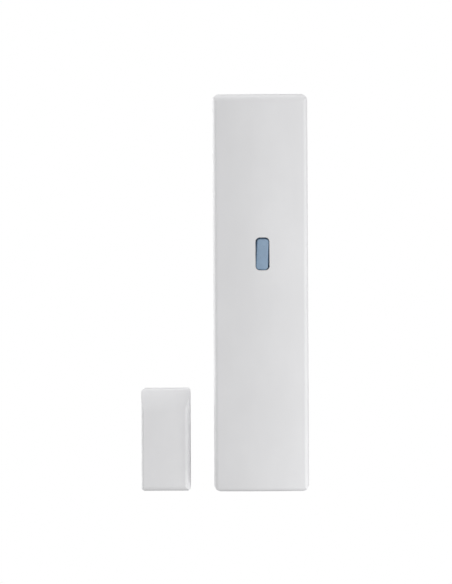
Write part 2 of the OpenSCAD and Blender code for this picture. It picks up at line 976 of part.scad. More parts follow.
module jumper_cap() {
    near = board_face + jumper_foot_h + fit_gap;
    far = near + jumper_cap_h;
    color([0.1, 0.25, 0.55])
        difference() {
            pad(jumper_spot, [jumper_size[0], jumper_size[1] - 0.2], 0.3, near, far);
            at_jumper_pins()
                block([0, 0], [jumper_cap_well, jumper_cap_well], near - past, far + past);
            block(jumper_spot, [1, jumper_size[1] + past], far - jumper_cap_notch, far + past);
        }
}

module antenna_coil() {
    leg = antenna_axis_d - board_face;
    coil = helix(antenna_r, antenna_r, antenna_l, antenna_turns + 0.5, 12);
    path = concat([[antenna_r, -leg, 0]], coil, [[-antenna_r, -leg, antenna_l]]);
    color("peru")
        translate([antenna_x - antenna_l / 2, -antenna_axis_d, antenna_z])
            rotate([180, -90, 0])
                wire(path, antenna_wire_r, 8);
}

// Moves children to the battery's axis
module at_battery() {
    translate([0, -battery_axis_d, 0])
        children();
}

module battery_can() {
    color(bright_metal)
        at_battery()
            difference() {
                translate([0, 0, battery_bottom_z])
                    cylinder(h = can_top_z - battery_bottom_z, r = can_r);
                translate([0, 0, can_top_z - rim_turn])
                    cylinder(h = past, r = can_r - rim_w);
            }
}

module battery_sleeve() {
    color([0.16, 0.2, 0.3])
        at_battery()
            difference() {
                translate([0, 0, battery_bottom_z + rim_turn])
                    cylinder(h = can_top_z - battery_bottom_z - 2 * rim_turn, r = battery_r);
                translate([0, 0, battery_bottom_z])
                    cylinder(h = battery_l, r = can_r);
            }
}

module battery_seal() {
    color(black_plastic)
        at_battery()
            translate([0, 0, can_top_z - rim_turn])
                difference() {
                    cylinder(h = seal_h, r = can_r - rim_w);
                    translate([0, 0, -past])
                        cylinder(h = 3 * past, r = cap_foot_r);
                }
}

module battery_cap() {
    color(bright_metal)
        at_battery()
            translate([0, 0, can_top_z - rim_turn]) {
                cylinder(h = rim_turn, r = cap_foot_r);
                cylinder(h = nub_h + rim_turn, r = nub_r);
            }
}

// Strip from a contact back to the base plate and down to the board; side is 1 at the right
module contact_strip(side, from_z) {
    block([side * strip_x, from_z + contact_t / 2], [strip_w, contact_t], strip_near, strip_end);
    block([side * strip_x, (from_z + contact_t + tab_z) / 2],
        [strip_w, from_z + contact_t - tab_z], strip_near, strip_far);
    block([side * strip_x, tab_z], [strip_w, contact_t], strip_near, tab_end);
}

module contact_positive() {
    color(bright_metal) {
        contact_strip(1, battery_top_z);
        block([contact_shift, battery_top_z + contact_t / 2], [contact_w, contact_t],
            positive_depths[0], positive_depths[1]);
    }
}

module contact_negative() {
    color(bright_metal) {
        contact_strip(-1, lower_wall_top_z);
        block([-contact_shift, lower_wall_top_z + contact_t / 2], [contact_w, contact_t],
            negative_depths[0], negative_depths[1]);
    }
}

module contact_spring() {
    color(bright_metal)
        translate([0, -battery_axis_d, lower_wall_top_z + contact_t + spring_wire_r])
            wire(helix(spring_foot_r, spring_tip_r, spring_h - 2 * spring_wire_r, spring_turns, 20),
                spring_wire_r, 8);
}

// Moves children to the middle of the magnet unit's back
module at_magnet_unit() {
    translate([magnet_unit_x, 0, magnet_unit_z])
        children();
}

module magnet_base() {
    inner = [magnet_w - 2 * cap_wall - 2 * lip_gap, magnet_h - 2 * cap_wall - 2 * lip_gap];
    color(base_white)
        at_magnet_unit()
            difference() {
                union() {
                    pad([0, 0], [magnet_w, magnet_h], cap_corner_r, 0, magnet_plate_t);
                    difference() {
                        pad([0, 0], inner, cap_inner_r, magnet_plate_t - bond, magnet_lip_d);
                        block([0, 0], [inner[0] - 2 * magnet_lip_t, inner[1] - 2 * magnet_lip_t],
                            magnet_plate_t - bond, magnet_lip_d + past);
                    }
                }
                for (z = [-0.5, 0.5])
                    countersunk_hole([0, z * magnet_screw_pitch], magnet_plate_t,
                        magnet_hole_d, magnet_head_d);
                pad([0, 0], magnet_sink, 1, -past, magnet_sink_depth);
            }
}

// Side view of the cap: a flat front whose top end rolls back, with small edge rounds
module cap_side(h, d, bottom, roll_end_h, roll, edge) {
    roll_z = h / 2 - roll_end_h;
    edge_z = h / 2 - edge;
    edge_d = d - roll + sqrt(pow(roll - edge, 2) - pow(edge_z - roll_z, 2));
    meet_z = roll_z + (edge_z - roll_z) * roll / (roll - edge);
    translate([0, -h / 2])
        square([d - bottom, h - roll_end_h]);
    translate([0, bottom - h / 2])
        square([d, h - roll_end_h - bottom]);
    translate([0, roll_z - past])
        square([edge_d, roll_end_h + past]);
    translate([d - bottom, bottom - h / 2])
        circle(bottom);
    translate([edge_d, edge_z])
        circle(edge);
    intersection() {
        translate([d - roll, roll_z])
            circle(roll, $fn = 180);
        translate([0, roll_z - past])
            square([d + past, meet_z - roll_z + past]);
    }
}

// Plan of the cap: its two front edges have their own rounds
module cap_plan(w, d, left, right) {
    translate([-w / 2, -d + max(left, right)])
        square([w, d + past - max(left, right)]);
    translate([left - w / 2, -d])
        square([w - left - right, d]);
    translate([-w / 2, -d + left])
        square([w / 2, d - left]);
    translate([0, -d + right])
        square([w / 2, d - right]);
    translate([left - w / 2, left - d])
        circle(left);
    translate([w / 2 - right, right - d])
        circle(right);
}

module cap_form(w, h, d, bottom, roll, edge, left, right, corner) {
    intersection() {
        slab(-past, d + past)
            round_rect(w, h, corner);
        linear_extrude(h + past, center = true)
            cap_plan(w, d, left, right);
        side_slab(w + past)
            cap_side(h, d, bottom, roll_h - (roll_r - roll), roll, edge);
    }
}

// Rails that clip the bar magnet inside the cap; they end in its front wall, which recedes at the roll
module magnet_holder() {
    root_d = magnet_d - 0.8 * cap_wall;
    difference() {
        block([0, 0], [bar_w + 2 * holder_t, bar_l + 2 * holder_t], bar_near + 1, root_d);
        block([0, 0], [bar_w + 2 * fit_gap, bar_l + 2 * fit_gap], 0, magnet_d - cap_wall);
    }
    for (z = holder_rib_z)
        block([0, z], [bar_w + bond, holder_t], bar_far + fit_gap, root_d);
}

module magnet_cap() {
    color(shell_white)
        at_magnet_unit() {
            difference() {
                cap_form(magnet_w, magnet_h, magnet_d, cap_bottom_r, roll_r, cap_edge_r,
                    cap_left_r, cap_right_r, cap_corner_r);
                cap_form(magnet_w - 2 * cap_wall, magnet_h - 2 * cap_wall, magnet_d - cap_wall,
                    cap_inner_r, roll_r - cap_wall, cap_inner_r, cap_inner_r, cap_inner_r, cap_inner_r);
                block([0, 0], [2 * magnet_w, 2 * magnet_h], -2 * past, cap_seam_d);
                block([0, -magnet_h / 2], [pry_notch[0], 2 * cap_wall + past],
                    cap_seam_d - past, cap_seam_d + pry_notch[1]);
            }
            magnet_holder();
        }
}

module bar_magnet() {
    color([0.35, 0.36, 0.38])
        at_magnet_unit()
            translate([0, -reed_axis_d, 0])
                linear_extrude(bar_l, center = true)
                    round_rect(bar_w, bar_w, 0.4);
}

front_cover();
base();
status_button();
circuit_board();
board_screws();
tact_switch();
tact_plunger();
switch_plates();
status_led();
tamper_switch();
tamper_plunger();
reed_glass();
reed_leads();
reed_blade();
microcontroller();
chip_legs();
radio_chip();
radio_shield();
crystal();
capacitor_can();
capacitor_foot();
chip_parts();
chip_ends();
terminal_block();
terminal_clamps();
terminal_screws();
jumper_header();
jumper_pins();
jumper_cap();
antenna_coil();
battery_can();
battery_sleeve();
battery_seal();
battery_cap();
contact_positive();
contact_negative();
contact_spring();
magnet_base();
magnet_cap();
bar_magnet();
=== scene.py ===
"""Door contact sensor: materials, fine detail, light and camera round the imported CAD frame."""

import json
import math

import bmesh
import bpy
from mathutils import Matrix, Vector


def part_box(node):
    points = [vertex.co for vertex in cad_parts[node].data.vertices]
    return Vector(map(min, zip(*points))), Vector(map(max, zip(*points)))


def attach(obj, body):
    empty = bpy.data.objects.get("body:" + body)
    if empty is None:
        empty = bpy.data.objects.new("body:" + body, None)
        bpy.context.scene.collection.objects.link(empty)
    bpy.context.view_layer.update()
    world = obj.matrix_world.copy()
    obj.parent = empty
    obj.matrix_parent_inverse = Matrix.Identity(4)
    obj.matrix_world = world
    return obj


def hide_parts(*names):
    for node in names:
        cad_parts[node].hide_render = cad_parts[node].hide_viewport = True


MM = 0.001

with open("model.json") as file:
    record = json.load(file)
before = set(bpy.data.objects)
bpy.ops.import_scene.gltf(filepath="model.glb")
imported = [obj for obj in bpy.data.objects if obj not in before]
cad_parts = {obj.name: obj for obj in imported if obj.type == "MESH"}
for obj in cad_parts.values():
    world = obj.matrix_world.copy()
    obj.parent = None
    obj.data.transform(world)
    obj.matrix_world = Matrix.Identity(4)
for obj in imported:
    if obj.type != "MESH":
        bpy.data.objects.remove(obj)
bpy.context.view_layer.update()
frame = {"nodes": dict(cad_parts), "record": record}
nodes = frame["nodes"]


# ---------------------------------------------------------------- materials

# The materials made here, by the record's slot or by a name of their own. They are kept apart from
# the frame's plain materials, which already hold the slots' names.
finishes = {}

# Places of the colour sockets on a Mix node, whose names are shared with its other kinds
MIX_COLOURS_IN = (6, 7)
MIX_COLOUR_OUT = 2

# Scale of a wave texture whose bands lie one metre apart
WAVE_SCALE = 0.314


class Shader:
    """A material's node tree, with one Principled shader and short ways to add to it."""

    def __init__(self, name, colour, roughness, **sockets):
        """Makes the material; other sockets are given by name, with _ for a space."""
        self.material = bpy.data.materials.new(name + "_finish")
        finishes[name] = self.material
        self.material.use_nodes = True
        self.tree = self.material.node_tree
        self.bsdf = self.tree.nodes["Principled BSDF"]
        self.bsdf.inputs["Base Color"].default_value = (*colour, 1)
        self.bsdf.inputs["Roughness"].default_value = roughness
        for socket, value in sockets.items():
            self.bsdf.inputs[socket.replace("_", " ")].default_value = value
        self.normal = None

    def node(self, kind, **settings):
        """Adds a node of a kind, with its settings."""
        made = self.tree.nodes.new(kind)
        for name, value in settings.items():
            setattr(made, name, value)
        return made

    def link(self, source, target):
        """Joins an output to an input."""
        self.tree.links.new(source, target)

    def place(self, scale=(1, 1, 1)):
        """Object coordinates, stretched."""
        coordinates = self.node("ShaderNodeTexCoord")
        mapping = self.node("ShaderNodeMapping")
        mapping.inputs["Scale"].default_value = scale
        self.link(coordinates.outputs["Object"], mapping.inputs["Vector"])
        return mapping.outputs["Vector"]

    def noise(self, size, detail=2.0, rough=0.5, where=None):
        """Noise whose blobs are about `size` metres across."""
        noise = self.node("ShaderNodeTexNoise")
        noise.inputs["Scale"].default_value = 1 / size
        noise.inputs["Detail"].default_value = detail
        noise.inputs["Roughness"].default_value = rough
        self.link(where or self.place(), noise.inputs["Vector"])
        return noise.outputs["Fac"]

    def cells(self, size):
        """Distance from the middle of cells about `size` metres across."""
        cells = self.node("ShaderNodeTexVoronoi")
        cells.inputs["Scale"].default_value = 1 / size
        self.link(self.place(), cells.inputs["Vector"])
        return cells.outputs["Distance"]

    def weave(self, pitch):
        """Rows of a plain weave that runs along X and Z."""
        rows = []
        for direction in ("X", "Z"):
            wave = self.node("ShaderNodeTexWave", bands_direction=direction)
            wave.inputs["Scale"].default_value = WAVE_SCALE / pitch
            wave.inputs["Distortion"].default_value = 0.4
            self.link(self.place(), wave.inputs["Vector"])
            rows.append(wave.outputs["Fac"])
        return self.sum(*rows, "MULTIPLY")

    def spread(self, value, low, high, start=0.3, end=0.7):
        """Takes a value's start..end to low..high."""
        span = self.node("ShaderNodeMapRange")
        span.inputs["From Min"].default_value = start
        span.inputs["From Max"].default_value = end
        span.inputs["To Min"].default_value = low
        span.inputs["To Max"].default_value = high
        self.link(value, span.inputs["Value"])
        return span.outputs["Result"]

    def sum(self, first, second, operation="ADD"):
        """Adds two numbers or outputs, or joins them by another operation of the Math node."""
        maths = self.node("ShaderNodeMath", operation=operation)
        for socket, value in zip(maths.inputs, (first, second)):
            if isinstance(value, (int, float)):
                socket.default_value = value
            else:
                self.link(value, socket)
        return maths.outputs["Value"]

    def blend(self, factor, first, second):
        """Mixes two colours, given as colours or as outputs."""
        mix = self.node("ShaderNodeMix", data_type="RGBA")
        self.link(factor, mix.inputs["Factor"])
        for i, value in zip(MIX_COLOURS_IN, (first, second)):
            if isinstance(value, tuple):
                mix.inputs[i].default_value = (*value, 1)
            else:
                self.link(value, mix.inputs[i])
        return mix.outputs[MIX_COLOUR_OUT]

    def along(self, axis):
        """How far the surface faces along an axis, either way."""
        geometry = self.node("ShaderNodeNewGeometry")
        dot = self.node("ShaderNodeVectorMath", operation="DOT_PRODUCT")
        dot.inputs[1].default_value = axis
        self.link(geometry.outputs["True Normal"], dot.inputs[0])
        return self.sum(dot.outputs["Value"], 0, "ABSOLUTE")

    def soften(self, radius):
        """Rounds the look of edges and gives 1 along them, 0 on plain faces."""
        bevel = self.node("ShaderNodeBevel", samples=6)
        bevel.inputs["Radius"].default_value = radius
        geometry = self.node("ShaderNodeNewGeometry")
        dot = self.node("ShaderNodeVectorMath", operation="DOT_PRODUCT")
        self.link(bevel.outputs["Normal"], dot.inputs[0])
        self.link(geometry.outputs["Normal"], dot.inputs[1])
        self.normal = bevel.outputs["Normal"]
        self.link(self.normal, self.bsdf.inputs["Normal"])
        return self.spread(dot.outputs["Value"], 1, 0, 0.8, 0.99)

    def paint(self, colour):
        """Gives the shader its base colour."""
        self.link(colour, self.bsdf.inputs["Base Color"])

    def rough(self, value):
        """Gives the shader its roughness."""
        self.link(value, self.bsdf.inputs["Roughness"])

    def bump(self, height, depth):
        """Raises the surface by up to `depth` metres, on top of what was raised before."""
        bump = self.node("ShaderNodeBump")
        bump.inputs["Distance"].default_value = depth
        self.link(height, bump.inputs["Height"])
        if self.normal:
            self.link(self.normal, bump.inputs["Normal"])
        self.normal = bump.outputs["Normal"]
        self.link(self.normal, self.bsdf.inputs["Normal"])


def shade(colour, factor):
    """A colour made darker, or lighter where the factor is over 1."""
    return tuple(min(1.0, c * factor) for c in colour)


def moulded(name, colour, roughness, grain=0.25 * MM, depth=0.004 * MM, mottle=0.02, edge=0.12 * MM,
            **sockets):
    """Moulded plastic: a spark-eroded grain, flow clouds, and edges rubbed smoother and lighter."""
    s = Shader(name, colour, roughness, **sockets)
    edges = s.soften(edge)
    streaks = s.noise(9 * MM, 3, where=s.place((1, 1, 0.25)))
    flow = s.sum(s.noise(14 * MM, 3), streaks, "MULTIPLY")
    dark, light = shade(colour, 1 - mottle), shade(colour, 1 + mottle)
    cloudy = s.blend(s.spread(flow, 0, 1, 0.15, 0.4), dark, light)
    rubbed = s.sum(edges, s.spread(s.noise(2.5 * MM, 4), 0.1, 0.7), "MULTIPLY")
    s.paint(s.blend(rubbed, cloudy, shade(colour, 1 + 3 * mottle)))
    uneven = s.spread(s.noise(5 * MM, 5), roughness - 0.05, roughness + 0.06)
    s.rough(s.sum(uneven, s.sum(rubbed, 0.15, "MULTIPLY"), "SUBTRACT"))
    s.bump(s.noise(24 * MM, 1), 0.03 * MM)
    s.bump(s.noise(grain, 3, 0.6), depth)
    return s.material


def metal(name, colour, roughness, lay=(1, 1, 12), stains=0.14, edge=0.05 * MM, **sockets):
    """Plated or drawn metal: fine drawing lines along one axis, dull patches and polished edges."""
    s = Shader(name, colour, roughness, Metallic=1.0, **sockets)
    edges = s.soften(edge)
    lines = s.noise(0.3 * MM, 3, where=s.place(tuple(1 / v for v in lay)))
    patches = s.noise(2.5 * MM, 5, 0.6)
    dull, bright = shade(colour, 1 - stains), shade(colour, 1 + stains / 2)
    s.paint(s.blend(edges, s.blend(s.spread(patches, 0, 1), dull, bright), shade(colour, 1.15)))
    patchy = s.spread(patches, roughness - 0.08, roughness + 0.12)
    s.rough(s.sum(patchy, s.spread(lines, -0.05, 0.05)))
    s.bump(lines, 0.004 * MM)
    return s.material


def solder_mask():
    """Green lacquer over glass cloth; the sawn edges of the board show the bare laminate."""
    mask = (0.012, 0.13, 0.045)
    dark = (0.006, 0.07, 0.028)
    laminate = (0.42, 0.4, 0.2)
    s = Shader("board_green", mask, 0.28, Coat_Weight=0.25, Coat_Roughness=0.2)
    s.soften(0.06 * MM)
    cloth = s.weave(0.55 * MM)
    lacquer = s.blend(s.spread(cloth, 0, 1, 0, 1), dark, mask)
    pooled = s.blend(s.spread(s.noise(6 * MM, 3), 0, 1), lacquer, shade(mask, 1.25))
    face = s.spread(s.along((0, 1, 0)), 0, 1, 0.4, 0.6)
    layers = s.noise(0.3 * MM, 4, where=s.place((1, 6, 1)))
    s.paint(s.blend(face, s.blend(layers, laminate, shade(laminate, 0.55)), pooled))
    s.rough(s.spread(s.noise(3 * MM, 4), 0.22, 0.42))
    s.bump(cloth, 0.006 * MM)
    return s.material


def copper_under_mask():
    """Tracks: copper under the same lacquer, so lighter than the bare board."""
    colour = (0.03, 0.24, 0.085)
    s = Shader("track_green", colour, 0.25, Coat_Weight=0.3, Coat_Roughness=0.15)
    s.soften(0.03 * MM)
    pooled = s.spread(s.noise(1.2 * MM, 4), 0, 1)
    s.paint(s.blend(pooled, shade(colour, 0.8), shade(colour, 1.2)))
    s.rough(s.spread(s.noise(0.8 * MM, 3), 0.2, 0.36))
    s.bump(s.noise(0.2 * MM, 2), 0.004 * MM)
    return s.material


def silkscreen():
    """Screen-printed white ink, thin enough at places for the green to show."""
    ink = (0.82, 0.82, 0.78)
    thin_ink = (0.4, 0.52, 0.42)
    s = Shader("silkscreen", ink, 0.6)
    thin = s.spread(s.noise(0.25 * MM, 4, 0.7), 0, 1, 0.55, 0.75)
    s.paint(s.blend(thin, ink, thin_ink))
    s.rough(s.spread(s.noise(0.5 * MM, 3), 0.5, 0.75))
    s.bump(s.noise(0.15 * MM, 3), 0.006 * MM)
    return s.material


def melted_solder():
    """Reflowed tin: bright, rippled and a little frosted."""
    colour = (0.62, 0.62, 0.64)
    frosted = (0.46, 0.46, 0.46)
    s = Shader("solder", colour, 0.24, Metallic=1.0)
    s.soften(0.06 * MM)
    frost = s.spread(s.noise(0.9 * MM, 5, 0.65), 0, 1, 0.4, 0.65)
    s.paint(s.blend(frost, colour, frosted))
    s.rough(s.spread(s.noise(0.7 * MM, 4), 0.16, 0.45))
    s.bump(s.noise(0.45 * MM, 2), 0.02 * MM)
    return s.material


def tinned_sheet():
    """Pressed tin-plated steel with the faint spangle of the plating."""
    colour = (0.66, 0.66, 0.67)
    worn_edge = (0.75, 0.75, 0.76)
    s = Shader("shield_metal", colour, 0.32, Metallic=1.0, Anisotropic=0.3)
    edges = s.soften(0.08 * MM)
    spangle = s.cells(1.6 * MM)
    plated = s.blend(s.spread(spangle, 0, 1, 0.1, 0.7), shade(colour, 0.94), shade(colour, 1.03))
    s.paint(s.blend(edges, plated, worn_edge))
    s.rough(s.spread(s.noise(1.5 * MM, 5, 0.7), 0.28, 0.38))
    s.bump(s.noise(8 * MM, 2), 0.02 * MM)
    s.bump(s.noise(0.25 * MM, 3, where=s.place((1, 1, 0.15))), 0.003 * MM)
    return s.material


def clear_tint(name, colour, roughness, weight):
    """Tinted clear glass, with faint draw lines."""
    s = Shader(name, colour, roughness, Transmission_Weight=weight, IOR=1.5)
    s.rough(s.spread(s.noise(1.5 * MM, 3), roughness - 0.03, roughness + 0.04))
    tint = s.spread(s.noise(3 * MM, 2), 0, 1)
    s.paint(s.blend(tint, shade(colour, 0.94), shade(colour, 1.04)))
    s.bump(s.noise(0.6 * MM, 2, where=s.place((1, 1, 0.1))), 0.003 * MM)
    return s.material


def button_plastic():
    """Blue-grey polycarbonate that also guides the status light, with painted shade that darkens it
    along its rolled edges.
    """
    colour = (0.245, 0.365, 0.51)
    s = Shader("button_blue", colour, 0.3, Coat_Weight=0.3, Coat_Roughness=0.12, IOR=1.58)
    edges = s.soften(0.2 * MM)
    cloudy = s.blend(s.spread(s.noise(1.8 * MM, 3), 0, 1), shade(colour, 0.95), shade(colour, 1.06))
    # Painted shade: the colour is darkened along the cap's edges, where the gap round it lies in shade.
    s.paint(s.blend(edges, cloudy, shade(colour, 0.88)))
    s.rough(s.spread(s.noise(1.2 * MM, 4), 0.24, 0.4))
    s.bump(s.noise(0.12 * MM, 2), 0.0025 * MM)
    return s.material


def shrunk_sleeve():
    """Glossy shrink sleeve: drawn tight along the cell, wrinkled and paler at its two ends."""
    colour = (0.012, 0.03, 0.075)
    stretched = (0.06, 0.1, 0.17)
    wrinkled_length = 3 * MM
    low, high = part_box("battery_sleeve")
    s = Shader("sleeve_blue", colour, 0.22, Coat_Weight=0.5, Coat_Roughness=0.1)
    s.soften(0.1 * MM)
    coordinates = s.node("ShaderNodeTexCoord")
    split = s.node("ShaderNodeSeparateXYZ")
    s.link(coordinates.outputs["Object"], split.inputs["Vector"])
    middle_z, half = (low.z + high.z) / 2, (high.z - low.z) / 2
    from_middle = s.sum(s.sum(split.outputs["Z"], middle_z, "SUBTRACT"), 0, "ABSOLUTE")
    end = s.spread(from_middle, 0, 1, half - wrinkled_length, half)
    clouds = s.spread(s.noise(7 * MM, 3), 0, 1)
    cloudy = s.blend(clouds, shade(colour, 0.8), shade(colour, 1.2))
    s.paint(s.blend(s.sum(end, 0.5, "MULTIPLY"), cloudy, stretched))
    s.rough(s.spread(s.noise(2.5 * MM, 4), 0.15, 0.32))
    wrinkles = s.sum(s.noise(0.8 * MM, 3, where=s.place((1, 1, 0.2))), end, "MULTIPLY")
    s.bump(wrinkles, 0.12 * MM)
    s.bump(s.noise(5 * MM, 2, where=s.place((1, 1, 0.3))), 0.03 * MM)
    return s.material


def printed_ink():
    """Pale ink on the battery's sleeve, scuffed through here and there."""
    ink = (0.62, 0.64, 0.66)
    sleeve_below = (0.06, 0.09, 0.15)
    s = Shader("sleeve_print", ink, 0.4)
    scuffs = s.spread(s.noise(0.7 * MM, 5, 0.7), 0, 1, 0.62, 0.7)
    s.paint(s.blend(scuffs, ink, sleeve_below))
    s.rough(s.spread(s.noise(1.5 * MM, 3), 0.3, 0.5))
    s.bump(s.noise(0.4 * MM, 3), 0.004 * MM)
    return s.material


def sintered_ferrite():
    """Pressed and sintered magnet: dark, grainy, with paler chips along its edges."""
    colour = (0.05, 0.05, 0.055)
    chipped = (0.16, 0.16, 0.17)
    s = Shader("magnet_grey", colour, 0.55, Metallic=0.3)
    edges = s.soften(0.15 * MM)
    grains = s.cells(0.25 * MM)
    chips = s.sum(edges, s.spread(s.noise(0.8 * MM, 5, 0.7), 0, 1, 0.5, 0.6), "MULTIPLY")
    grainy = s.blend(s.spread(grains, 0, 1, 0.1, 0.6), shade(colour, 1.4), shade(colour, 0.7))
    s.paint(s.blend(chips, grainy, chipped))
    s.rough(s.spread(s.noise(0.6 * MM, 4), 0.4, 0.7))
    s.bump(grains, 0.012 * MM)
    return s.material


def fired_ceramic():
    """Chip resistors and capacitors: speckled dark glaze."""
    glaze = (0.045, 0.04, 0.036)
    speck = (0.11, 0.1, 0.085)
    s = Shader("ceramic_dark", glaze, 0.4)
    s.soften(0.06 * MM)
    specks = s.spread(s.cells(0.14 * MM), 1, 0, 0.05, 0.3)
    s.paint(s.blend(specks, glaze, speck))
    s.rough(s.spread(s.noise(0.4 * MM, 4), 0.3, 0.55))
    s.bump(s.noise(0.2 * MM, 3), 0.006 * MM)
    return s.material


moulded("cover_white", (0.865, 0.865, 0.877), 0.42)
moulded("base_white", (0.84, 0.84, 0.85), 0.5, grain=0.35 * MM, depth=0.008 * MM)
button_plastic()
solder_mask()
moulded("black_plastic", (0.018, 0.018, 0.02), 0.45, grain=0.12 * MM, mottle=0.15, edge=0.08 * MM)
metal("steel", (0.6, 0.6, 0.62), 0.28, Anisotropic=0.3)
tinned_sheet()
melted_solder()
moulded("lens_white", (0.78, 0.77, 0.68), 0.2, mottle=0.05, edge=0.1 * MM, Coat_Weight=0.3)
clear_tint("reed_glass", (0.72, 0.9, 0.8), 0.04, weight=0.92)
fired_ceramic()
metal("can_aluminium", (0.8, 0.8, 0.82), 0.2, lay=(1, 12, 1), stains=0.08)
moulded("block_green", (0.012, 0.16, 0.07), 0.4, grain=0.15 * MM, mottle=0.1)
metal("brass", (0.7, 0.5, 0.22), 0.28)
moulded("jumper_blue", (0.015, 0.06, 0.28), 0.4, grain=0.12 * MM, mottle=0.12, edge=0.08 * MM)
metal("copper_wire", (0.62, 0.27, 0.13), 0.2, lay=(1, 1, 1), Coat_Weight=0.6, Coat_Roughness=0.1)
shrunk_sleeve()
sintered_ferrite()
copper_under_mask()
silkscreen()
printed_ink()

# Every CAD node takes the finish of its slot.
for entry in frame["record"]["subparts"]:
    skin = nodes[entry["node"]].data
    skin.materials.clear()
    skin.materials.append(finishes[entry["material_slot"]])


# ---------------------------------------------------------------- shapes

# Points closer than this are one point, in a piece made here and in a CAD node
SAME_PLACE = 1e-8
SAME_CAD_PLACE = 1e-7


def add_piece(name, bm, body, slot, material=None, smooth=False):
    """Makes a piece of the mesh on a body, with its slot's finish or another one named."""
    bmesh.ops.recalc_face_normals(bm, faces=bm.faces)
    mesh = bpy.data.meshes.new(name)
    bm.to_mesh(mesh)
    bm.free()
    if smooth:
        mesh.shade_smooth()
    mesh.materials.append(finishes[material or slot])
    piece = bpy.data.objects.new(name, mesh)
    bpy.context.scene.collection.objects.link(piece)
    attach(piece, body)
    return piece


def rectangle(x, z, width, height):
    """Outline of a rectangle in the front view, counter-clockwise."""
    w, h = width / 2, height / 2
    return [(x - w, z - h), (x + w, z - h), (x + w, z + h), (x - w, z + h)]


def rounded(x, z, width, height, radius, steps=8):
    """Outline of a rectangle with round corners in the front view."""
    outline = []
    for corner, (sx, sz) in enumerate([(1, -1), (1, 1), (-1, 1), (-1, -1)]):
        middle_x = x + sx * (width / 2 - radius)
        middle_z = z + sz * (height / 2 - radius)
        for i in range(steps + 1):
            angle = math.radians(-90 + 90 * corner + 90 * i / steps)
            outline.append((middle_x + radius * math.cos(angle), middle_z + radius * math.sin(angle)))
    return outline


def disc(x, z, radius, steps=24):
    """Outline of a circle in the front view."""
    turns = [2 * math.pi * i / steps for i in range(steps)]
    return [(x + radius * math.cos(t), z + radius * math.sin(t)) for t in turns]


def ribbon(points, width):
    """Outline of a line of one width along some points in the front view."""
    points = [Vector(p) for p in points]
    left, right = [], []
    for i, point in enumerate(points):
        before = (point - points[i - 1]).normalized() if i else None
        after = (points[i + 1] - point).normalized() if i + 1 < len(points) else None
        before, after = before or after, after or before
        mean = (before + after).normalized()
        across = Vector((-mean.y, mean.x))
        reach = width / 2 / mean.dot(after)
        left.append(point + across * reach)
        right.append(point - across * reach)
    return [tuple(p) for p in right + left[::-1]]


def prism(bm, outline, far, near):
    """Fills an outline and gives it depth, from y = far to y = near."""
    back = [bm.verts.new((x, far, z)) for x, z in outline]
    front = [bm.verts.new((x, near, z)) for x, z in outline]
    bm.faces.new(front)
    bm.faces.new(back[::-1])
    for i in range(len(outline)):
        j = (i + 1) % len(outline)
        bm.faces.new((back[i], back[j], front[j], front[i]))


def loft(bm, rings, capped=True):
    """Skin over closed rings of points, with a face over each end where it is capped."""
    made = [[bm.verts.new(p) for p in ring] for ring in rings]
    for a, b in zip(made, made[1:]):
        for i in range(len(a)):
            j = (i + 1) % len(a)
            bm.faces.new((a[i], a[j], b[j], b[i]))
    if capped:
        bm.faces.new(made[0][::-1])
        bm.faces.new(made[-1])


def ring_plate(bm, outer, inner, far, near):
    """Flat frame between two outlines with the same number of points."""
    loops = [(outer, far), (outer, near), (inner, near), (inner, far)]
    rings = [[(x, y, z) for x, z in outline] for outline, y in loops]
    loft(bm, rings + rings[:1], capped=False)
    bmesh.ops.remove_doubles(bm, verts=bm.verts, dist=SAME_PLACE)


def dome(bm, x, z, radius, height, far):
    """Low round drop on a face at y = far, with a flared foot and a small flat top."""
    steps, rows, top_share = 20, 6, 0.15
    rings = []
    for i in range(rows + 1):
        rise = math.sin(math.pi / 2 * i / rows)
        r = radius * (1 - (1 - top_share) * rise ** 1.5)
        y = far - height * rise ** 1.3
        rings.append([(px, y, pz) for px, pz in disc(x, z, r, steps)])
    loft(bm, rings)


def solids(node):
    """Boxes of the separate solids of a CAD node, in order from left to right and bottom to top."""
    bm = bmesh.new()
    bm.from_mesh(nodes[node].data)
    bmesh.ops.remove_doubles(bm, verts=bm.verts, dist=SAME_CAD_PLACE)
    boxes, seen = [], set()
    for start in bm.verts:
        if start in seen:
            continue
        group, todo = [], [start]
        seen.add(start)
        while todo:
            vert = todo.pop()
            group.append(vert.co.copy())
            fresh = {edge.other_vert(vert) for edge in vert.link_edges} - seen
            seen |= fresh
            todo.extend(fresh)
        boxes.append(box_of(group))
    bm.free()
    return sorted(boxes, key=lambda box: (round(box[0].x, 5), round(box[0].z, 5)))


def box_of(points):
    """Low and high corners of the box round some points."""
    return (Vector([min(p[i] for p in points) for i in range(3)]),
            Vector([max(p[i] for p in points) for i in range(3)]))


def box_where(node, wanted):
    """Box of the corners of a CAD node that a test picks out."""
    return box_of([v.co for v in nodes[node].data.vertices if wanted(v.co)])


def middle(box):
    """The middle of a box."""
    return (box[0] + box[1]) / 2


# ---------------------------------------------------------------- button and coils

def turned(outline, pivot, angle):
    """An outline turned clockwise in the front view."""
    cos, sin = math.cos(-angle), math.sin(-angle)
    return [(pivot[0] + (x - pivot[0]) * cos - (z - pivot[1]) * sin,
             pivot[1] + (x - pivot[0]) * sin + (z - pivot[1]) * cos) for x, z in outline]


